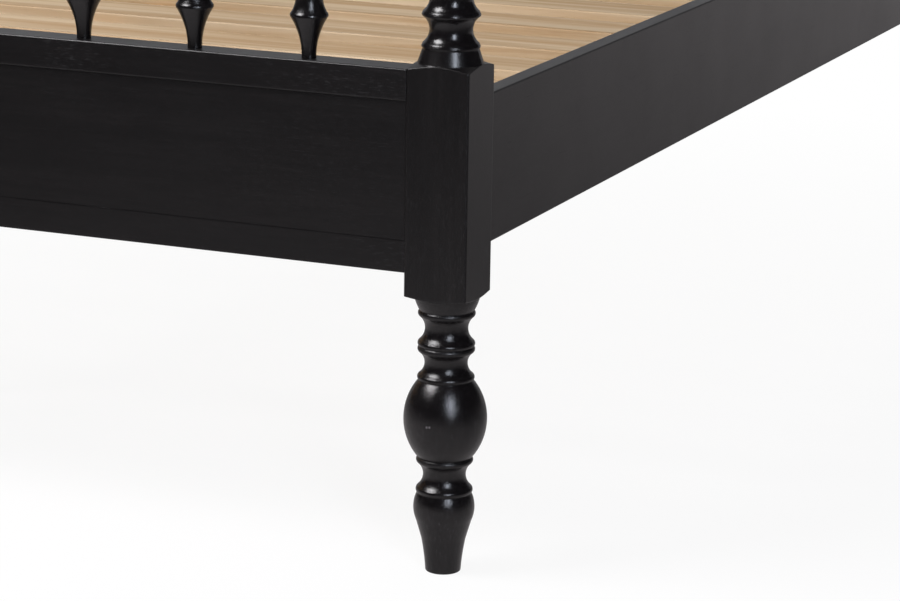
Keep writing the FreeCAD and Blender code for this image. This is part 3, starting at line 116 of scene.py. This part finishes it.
LACQUER_IOR = 1.5
SOFT_EDGE = 0.0005  # radii of edges that are rounder in shade than in shape
WORN_EDGE = 0.0022
LACQUER_EDGE_SAMPLES = 6
PINE_EDGE_SAMPLES = 4
PINE_RELIEF = 0.00006
ZINC_RELIEF = 0.00002
SMOOTH_BELOW = 32  # degrees between two faces that are shaded as one

# Heights from and to, the length of the soft ends, and the roughness between them.
BLOCK_BANDS = ((0.0, 0.511, 0.002, 0.30), (0.512, 0.5245, 0.001, 0.26))  # a post's square, the flare above it
RING_BANDS = (  # the small rings of a foot, where lacquer gathers
    (0.1124, 0.1181, 0.0005, 0.31),
    (0.2253, 0.2310, 0.0005, 0.34),
    (0.2614, 0.2671, 0.0005, 0.31),
)

JOINT_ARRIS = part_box(LOWER_RAILS[0])[1][2] - 0.0016  # where the arris beside a panel begins
JOINT_END = 0.0003  # length of the fill's soft end
JOINT_FILL = 0.9
FACES_HEAD = 0.3  # a normal's Y above which it counts as facing the head

NICKS = ((0.7619, -1.0992, 0.1576), (0.7648, -1.0993, 0.1580))  # on the bulb of the photographed foot
NICK_EDGE = (0.0015, 0.0007)  # distances at which a nick fades out and is whole

# ---------------------------------------------------------------- light, floor and camera

FOOT_PLACE = (0.764, -1.058)
FOOT_AIM = (*FOOT_PLACE, 0.25)
MIDDLE_AIM = (0, 0, 0.5)
LAMPS = (  # name, azimuth, elevation, distance, width, height, radiance, tint, what it points at
    ("key", -57, 50, 3.4, 1.5, 1.2, 16.5, (1.0, 0.98, 1.0), FOOT_AIM),
    ("window", 40, 25, 3.6, 0.66, 1.9, 17.0, (0.82, 0.88, 1.0), FOOT_AIM),
    ("overhead", 150, 72, 4.5, 3.0, 3.0, 0.6, (1.0, 1.0, 1.0), MIDDLE_AIM),
)

WHITE = (1, 1, 1)
STUDIO_FILL = (0.25, 0.25, 0.25)
STUDIO_DARK = (0.02, 0.018, 0.02)
STUDIO_BACKDROP = (0.42, 0.42, 0.435)
BACKDROP_EDGE = (0.72, 0.93)  # cosine of the angle from the middle of the backdrop

FLOOR_HALF = 120.0  # half the side of the floor's square
FLOOR_COLOUR = (0.94, 0.93, 0.93)
FLOOR_WHITENING = (0.6, 2.6, 0.9, 1.0)  # metres from the photographed foot, and the share of pure white
PAINTED_GLOW_NEAR = (0.55, 0.52, 0.53)  # what the lacquer sees of the floor: a painted glow, not lit floor, here where the painted pool of light is full
# Painted glow of the floor far from the pool of light, seen only in reflections.
PAINTED_GLOW_FAR = (0.09, 0.085, 0.087)
POOL_PLACE = (0.45, -1.35)
POOL_REACH = (1.9, 0.2)  # metres from there at which the painted pool of light begins and is full
SPILL_REACH = (-1.3, 3.4)  # metres along the view, past the middle of the bed, over which the painted glow brightens towards the backdrop

CAMERA_ANGLES = (22.66986, 13.97416, 0.90683)  # azimuth, downward pitch and roll, in degrees
CAMERA_PLACE = (1.93168, -3.84635, 1.02832)
CAMERA_LENS = 127.70
SENSOR_WIDTH = 36.0
CLIP_START, CLIP_END = 0.05, 400


# ---------------------------------------------------------------- node helpers

MIX_COLOURS = (6, 7)  # places of a mix node's two colours, and of its two vectors
MIX_VECTORS = (4, 5)
MIXED_COLOUR, MIXED_VECTOR = 2, 1  # places of its outputs


class Graph:
    """A material's or world's node tree with short ways to add and link nodes."""

    def __init__(self, name, world=None):
        self.material = world or bpy.data.materials.new(name)
        self.material.use_nodes = True
        self.tree = self.material.node_tree
        self.tree.nodes.clear()
        self.output = self.add("ShaderNodeOutputWorld" if world else "ShaderNodeOutputMaterial")

    def add(self, kind, **settings):
        node = self.tree.nodes.new(kind)
        for key, setting in settings.items():
            setattr(node, key, setting)
        return node

    def link(self, source, target):
        self.tree.links.new(source, target)

    def value(self, node, key, source):
        """Set or link an input, by its name or place."""
        if hasattr(source, "links"):
            self.link(source, node.inputs[key])
        else:
            node.inputs[key].default_value = source

    def math(self, operation, first, second=0.0, clamp=False):
        node = self.add("ShaderNodeMath", operation=operation, use_clamp=clamp)
        self.value(node, 0, first)
        self.value(node, 1, second)
        return node.outputs[0]

    def vector_math(self, operation, first, second):
        """The single value of a distance or a dot product."""
        node = self.add("ShaderNodeVectorMath", operation=operation)
        self.value(node, 0, first)
        self.value(node, 1, second)
        return node.outputs["Value"]

    def parts(self, vector):
        """The X, Y and Z of a vector."""
        node = self.add("ShaderNodeSeparateXYZ")
        self.link(vector, node.inputs[0])
        return node.outputs

    def stretched(self, scale):
        """Object coordinates, in metres, scaled by the given vector."""
        coordinates = self.add("ShaderNodeTexCoord")
        mapping = self.add("ShaderNodeMapping")
        mapping.inputs["Scale"].default_value = scale
        self.link(coordinates.outputs["Object"], mapping.inputs["Vector"])
        return mapping.outputs["Vector"]

    def noise(self, vector, scale, detail, roughness, distortion=0.0):
        node = self.add("ShaderNodeTexNoise")
        self.link(vector, node.inputs["Vector"])
        node.inputs["Scale"].default_value = scale
        node.inputs["Detail"].default_value = detail
        node.inputs["Roughness"].default_value = roughness
        node.inputs["Distortion"].default_value = distortion
        return node.outputs["Fac"]

    def grain(self, kind, axis):
        """One of GRAINS, drawn out along an axis."""
        across, lengthwise, *settings = GRAINS[kind]
        scale = [lengthwise if letter == axis else across for letter in "XYZ"]
        return self.noise(self.stretched(scale), 1.0, *settings)

    def cloud(self, kind):
        """One of CLOUDS."""
        return self.noise(self.stretched([1, 1, 1]), *CLOUDS[kind])

    def spread(self, source, low, high, out_low=0.0, out_high=1.0):
        """Map a range of values on to another one, clamped."""
        node = self.add("ShaderNodeMapRange")
        self.link(source, node.inputs["Value"])
        node.inputs["From Min"].default_value = low
        node.inputs["From Max"].default_value = high
        node.inputs["To Min"].default_value = out_low
        node.inputs["To Max"].default_value = out_high
        return node.outputs["Result"]

    def colours(self, factor, first, second):
        node = self.add("ShaderNodeMix", data_type="RGBA")
        self.value(node, "Factor", factor)
        for key, colour in zip(MIX_COLOURS, (first, second)):
            self.value(node, key, colour if hasattr(colour, "links") else (*colour, 1))
        return node.outputs[MIXED_COLOUR]

    def bevel(self, radius, samples):
        node = self.add("ShaderNodeBevel", samples=samples)
        node.inputs["Radius"].default_value = radius
        return node.outputs["Normal"]

    def bump(self, height, depth, normal=None):
        """Bump whose height of 1 is depth metres."""
        node = self.add("ShaderNodeBump")
        node.inputs["Distance"].default_value = depth
        self.link(height, node.inputs["Height"])
        if normal is not None:
            self.link(normal, node.inputs["Normal"])
        return node.outputs["Normal"]

    def principled(self, colour, roughness, normal=None, metallic=0.0):
        """Finish a material with one principled shader."""
        shader = self.add("ShaderNodeBsdfPrincipled")
        self.link(colour, shader.inputs["Base Color"])
        self.link(roughness, shader.inputs["Roughness"])
        shader.inputs["Metallic"].default_value = metallic
        if normal is not None:
            self.link(normal, shader.inputs["Normal"])
        self.link(shader.outputs["BSDF"], self.output.inputs["Surface"])
        return shader

    def mixed(self, share, first, second):
        """The outputs of two shaders, mixed."""
        node = self.add("ShaderNodeMixShader")
        self.link(share, node.inputs["Fac"])
        self.link(first, node.inputs[1])
        self.link(second, node.inputs[2])
        return node.outputs["Shader"]


# ---------------------------------------------------------------- black lacquer


def lacquer_colour(graph, axis, figure, place, scuffed, nicks):
    """Deep and warm blacks with the wood's figure, then short pale scuffs in patches, then nicks."""
    streaks = graph.spread(graph.grain("streaks", axis), *STREAK_TONE)
    tone = graph.math("MULTIPLY", graph.spread(figure, *FIGURE_TONE), streaks)
    colour = graph.colours(tone, BLACK_DEEP, BLACK_WARM)
    by_posts = graph.spread(graph.math("ABSOLUTE", place["X"]), *WEAR_BY_POSTS)
    patches = graph.math("ADD", graph.grain("scuff patches", axis), by_posts)
    patches = graph.spread(patches, *PATCH_OPENING, PATCH_LEAST, scuffed)
    dashes = graph.spread(graph.grain("scuff dashes", axis), *DASH_OPENING)
    colour = graph.colours(graph.math("MULTIPLY", dashes, patches), colour, SCUFF_COLOUR)
    for nick in nicks:
        apart = graph.vector_math("DISTANCE", graph.stretched([1, 1, 1]), nick)
        colour = graph.colours(graph.spread(apart, *NICK_EDGE), colour, NICK_COLOUR)
    return colour


def lacquer_roughness(graph, roughness, pores, place, bands):
    """A roughness with smears of handling, duller in the pores, and a roughness of its own in each band."""
    least, most = (roughness + change for change in SMEAR_SHINE)
    handled = graph.spread(graph.cloud("smears"), *SMEAR_RANGE, least, most)
    rough = graph.math("ADD", handled, graph.math("MULTIPLY", pores, PORE_DULLNESS))
    for low, high, ends, inside in bands:
        above = graph.spread(place["Z"], low - ends, low)
        below = graph.spread(place["Z"], high + ends, high)
        change = graph.math("SUBTRACT", inside, rough)
        change = graph.math("MULTIPLY", change, graph.math("MULTIPLY", above, below))
        rough = graph.math("ADD", rough, change)
    return rough


def filled_joint(graph, height, from_height):
    """A normal that turns, above a height, nearly to that of the rail's face towards the foot or the head."""
    surface = graph.add("ShaderNodeNewGeometry").outputs["Normal"]
    behind = graph.math("GREATER_THAN", graph.parts(surface)["Y"], FACES_HEAD)
    face = graph.add("ShaderNodeCombineXYZ")
    graph.link(graph.spread(behind, 0.0, 1.0, -1.0, 1.0), face.inputs["Y"])
    filled = graph.add("ShaderNodeMix", data_type="VECTOR")
    share = graph.spread(height, from_height - JOINT_END, from_height, 0.0, JOINT_FILL)
    graph.link(share, filled.inputs["Factor"])
    for key, normal in zip(MIX_VECTORS, (surface, face.outputs["Vector"])):
        graph.link(normal, filled.inputs[key])
    return filled.outputs[MIXED_VECTOR]


def black_lacquer(
    name,
    axis,
    roughness,
    pore_depth,
    peel_depth,
    soft_edge=0.0,
    bands=(),
    scuffed=1.0,
    nicks=(),
    filled_above=None,
):
    """Black satin lacquer that sinks a little into the pores of the wood below it.

    The grain runs along axis. Lacquer fills a rail's joint above the height filled_above, so that its
    arris there is shaded nearly as flat as its face. scuffed is how strong the scuffs are in a patch.
    """
    graph = Graph(name)
    place = graph.parts(graph.stretched([1, 1, 1]))
    pores = graph.spread(graph.grain("pores", axis), *PORE_OPENING)
    figure = graph.grain("figure", axis)
    normal = None
    if soft_edge:
        normal = graph.bevel(soft_edge, LACQUER_EDGE_SAMPLES)
    if filled_above:
        normal = filled_joint(graph, place["Z"], filled_above)
    relief = graph.math("SUBTRACT", graph.math("MULTIPLY", figure, FIGURE_RELIEF), pores)
    normal = graph.bump(relief, pore_depth, normal)
    normal = graph.bump(graph.cloud("orange peel"), peel_depth, normal)
    colour = lacquer_colour(graph, axis, figure, place, scuffed, nicks)
    rough = lacquer_roughness(graph, roughness, pores, place, bands)
    shader = graph.principled(colour, rough, normal)
    shader.inputs["IOR"].default_value = LACQUER_IOR
    return graph.material


# ---------------------------------------------------------------- pine, zinc and black oxide


def pine(name, axis):
    """Planed softwood: wide bands of early and late wood, fine fibres, and boards that differ a little."""
    graph = Graph(name)
    rings = graph.spread(graph.grain("growth rings", axis), *RING_TONE)
    fibres = graph.grain("fibres", axis)
    late = graph.math("MULTIPLY", rings, graph.spread(fibres, *FIBRE_TONE), clamp=True)
    shade = graph.add("ShaderNodeHueSaturation")
    graph.link(graph.colours(late, PINE_PALE, PINE_DARK), shade.inputs["Color"])
    within = graph.spread(graph.grain("board tone", axis), *BOARD_TONE)
    by_piece = graph.spread(graph.add("ShaderNodeObjectInfo").outputs["Random"], *PIECE_TONE)
    graph.link(graph.math("ADD", within, by_piece), shade.inputs["Value"])
    rough = graph.spread(fibres, *PINE_ROUGHNESS)
    normal = graph.bump(fibres, PINE_RELIEF, graph.bevel(SOFT_EDGE, PINE_EDGE_SAMPLES))
    graph.principled(shade.outputs["Color"], rough, normal)
    return graph.material


def zinc_plate(name):
    """Bright zinc on pressed steel, with faint rolling lines and handling marks."""
    graph = Graph(name)
    cloud = graph.cloud("zinc")
    colour = graph.colours(graph.spread(cloud, *ZINC_TONE), ZINC_DULL, ZINC_BRIGHT)
    rough = graph.spread(cloud, *ZINC_ROUGHNESS)
    normal = graph.bump(graph.grain("rolling lines", "Z"), ZINC_RELIEF)
    graph.principled(colour, rough, normal, metallic=1.0)
    return graph.material


def black_oxide(name):
    """Black oxide on the levellers, a little uneven."""
    graph = Graph(name)
    cloud = graph.cloud("oxide")
    colour = graph.colours(graph.spread(cloud, *OXIDE_TONE), OXIDE_BLACK, OXIDE_WORN)
    rough = graph.spread(cloud, *OXIDE_ROUGHNESS)
    graph.principled(colour, rough, metallic=OXIDE_METALLIC)
    return graph.material


# ---------------------------------------------------------------- materials on the nodes


def finishes():
    """Each material with the nodes that wear it: grain axis, roughness, pore and orange peel depth first."""
    board = (0.32, 0.00004, 0.000008)
    turned = (0.20, 0.000015, 0.00025, SOFT_EDGE)
    posts = (0.20, 0.00003, 0.00008, WORN_EDGE, BLOCK_BANDS)
    legs = (0.30, 0.00003, 0.00001, SOFT_EDGE)
    return (
        (zinc_plate("zinc"), nodes),
        (black_lacquer("lacquer_across", "X", *board, WORN_EDGE, scuffed=1.3), UPPER_RAILS),
        (black_lacquer("lacquer_panel", "X", *board, scuffed=0.45), PANELS),
        (black_lacquer("lacquer_joint", "X", *board, filled_above=JOINT_ARRIS), LOWER_RAILS),
        (black_lacquer("lacquer_along", "Y", *board, WORN_EDGE, scuffed=0.6), SIDE_RAILS),
        (black_lacquer("lacquer_upright", "Z", *legs), MIDDLE_LEGS),
        (black_lacquer("lacquer_posts", "Z", *posts, scuffed=0.6), POSTS),
        (black_lacquer("lacquer_turned", "Z", *turned), SPINDLES),
        (black_lacquer("lacquer_feet", "Z", *turned, RING_BANDS, nicks=NICKS), FEET),
        (pine("pine_across", "X"), PINE_ACROSS),
        (pine("pine_along", "Y"), PINE_ALONG),
        (black_oxide("black_oxide"), LEVELLERS),
    )


def dress():
    """Give each node the last material that names it; zinc is for what no other does."""
    looks = {name: material for material, names in finishes() for name in names}
    for name, material in looks.items():
        mesh = nodes[name].data
        mesh.materials.clear()
        mesh.materials.append(material)
        mesh.shade_smooth()
        mesh.set_sharp_from_angle(angle=math.radians(SMOOTH_BELOW))


# ---------------------------------------------------------------- studio


def studio_ahead():
    """The level direction in which the camera looks."""
    turn = math.radians(CAMERA_ANGLES[0])
    return (-math.sin(turn), math.cos(turn), 0)


def floor_material():
    """Diffuse with the bed's shadow, whitened to the camera, clear from below.

    What the lacquer mirrors of it is a painted glow, a painted pool of light brightest by the photographed
    foot and again towards the backdrop.
    """
    graph = Graph("floor")
    place = graph.add("ShaderNodeTexCoord").outputs["Object"]
    from_foot = graph.vector_math("DISTANCE", place, (*FOOT_PLACE, 0))
    from_pool = graph.vector_math("DISTANCE", place, (*POOL_PLACE, 0))
    beyond = graph.vector_math("DOT_PRODUCT", place, studio_ahead())
    pool = graph.spread(from_pool, *POOL_REACH)
    spill = graph.spread(beyond, *SPILL_REACH)
    # Painted pool of light and spill: an emission that glossy rays see instead of the lit floor.
    painted_floor_glow = graph.colours(graph.math("MAXIMUM", pool, spill), PAINTED_GLOW_FAR, PAINTED_GLOW_NEAR)
    path = graph.add("ShaderNodeLightPath").outputs
    white = graph.add("ShaderNodeEmission")
    graph.link(graph.colours(path["Is Camera Ray"], painted_floor_glow, WHITE), white.inputs["Color"])
    share = graph.math("MULTIPLY", path["Is Camera Ray"], graph.spread(from_foot, *FLOOR_WHITENING))
    share = graph.math("MAXIMUM", share, path["Is Glossy Ray"])
    share = graph.math("MAXIMUM", share, path["Is Transmission Ray"])
    surface = graph.add("ShaderNodeBsdfDiffuse")
    surface.inputs["Color"].default_value = (*FLOOR_COLOUR, 1)
    seen = graph.mixed(share, surface.outputs["BSDF"], white.outputs["Emission"])
    below = graph.add("ShaderNodeNewGeometry").outputs["Backfacing"]
    clear = graph.add("ShaderNodeBsdfTransparent").outputs["BSDF"]
    graph.link(graph.mixed(below, seen, clear), graph.output.inputs["Surface"])
    return graph.material


def studio_floor():
    half = FLOOR_HALF
    corners = [(-half, -half, 0), (half, -half, 0), (half, half, 0), (-half, half, 0)]
    mesh = bpy.data.meshes.new("floor")
    mesh.from_pydata(corners, [], [(0, 1, 2, 3)])
    mesh.materials.append(floor_material())
    floor = bpy.data.objects.new("floor", mesh)
    scene.collection.objects.link(floor)


def world_light():
    """An even fill, white to the camera; the lacquer mirrors a dim studio with a lit backdrop."""
    scene.world = bpy.data.worlds.new("studio")
    graph = Graph(None, scene.world)
    direction = graph.add("ShaderNodeTexCoord").outputs["Generated"]
    ahead = graph.vector_math("DOT_PRODUCT", direction, studio_ahead())
    path = graph.add("ShaderNodeLightPath").outputs
    colour = graph.colours(graph.spread(ahead, *BACKDROP_EDGE), STUDIO_DARK, STUDIO_BACKDROP)
    colour = graph.colours(path["Is Glossy Ray"], STUDIO_FILL, colour)
    direct = graph.math("MAXIMUM", path["Is Camera Ray"], path["Is Transmission Ray"])
    light = graph.add("ShaderNodeBackground")
    graph.link(graph.colours(direct, colour, WHITE), light.inputs["Color"])
    graph.link(light.outputs["Background"], graph.output.inputs["Surface"])


def softbox(name, azimuth, elevation, distance, width, height, radiance, tint, aim):
    """A rectangular lamp seen from aim at the given angles; azimuth 0 lies towards -Y, 90 towards +X."""
    lamp = bpy.data.lights.new(name, "AREA")
    lamp.shape = "RECTANGLE"
    lamp.size = width
    lamp.size_y = height
    lamp.energy = radiance * math.pi * width * height
    lamp.color = tint
    turn, rise = math.radians(azimuth), math.radians(elevation)
    level = math.cos(rise)
    towards = Vector((math.sin(turn) * level, -math.cos(turn) * level, math.sin(rise)))
    holder = bpy.data.objects.new(name, lamp)
    holder.location = Vector(aim) + towards * distance
    holder.rotation_euler = (-towards).to_track_quat("-Z", "Y").to_euler()
    scene.collection.objects.link(holder)


def camera():
    """The camera where the photograph was taken, found from the edges of the rails and the corner post."""
    azimuth, pitch, roll = (math.radians(angle) for angle in CAMERA_ANGLES)
    flat = math.cos(pitch)
    ahead = Vector((-math.sin(azimuth) * flat, math.cos(azimuth) * flat, -math.sin(pitch)))
    level = Vector((math.cos(azimuth), math.sin(azimuth), 0))
    upright = level.cross(ahead)
    side = level * math.cos(roll) + upright * math.sin(roll)
    top = upright * math.cos(roll) - level * math.sin(roll)
    data = bpy.data.cameras.new("camera")
    data.sensor_width = SENSOR_WIDTH
    data.lens = CAMERA_LENS
    data.clip_start, data.clip_end = CLIP_START, CLIP_END
    holder = bpy.data.objects.new("camera", data)
    turn = Matrix((side, top, -ahead)).transposed().to_4x4()
    holder.matrix_world = Matrix.Translation(Vector(CAMERA_PLACE)) @ turn
    scene.collection.objects.link(holder)
    scene.camera = holder


dress()
studio_floor()
world_light()
for lamp_settings in LAMPS:
    softbox(*lamp_settings)
camera()

scene.view_settings.view_transform = "Standard"
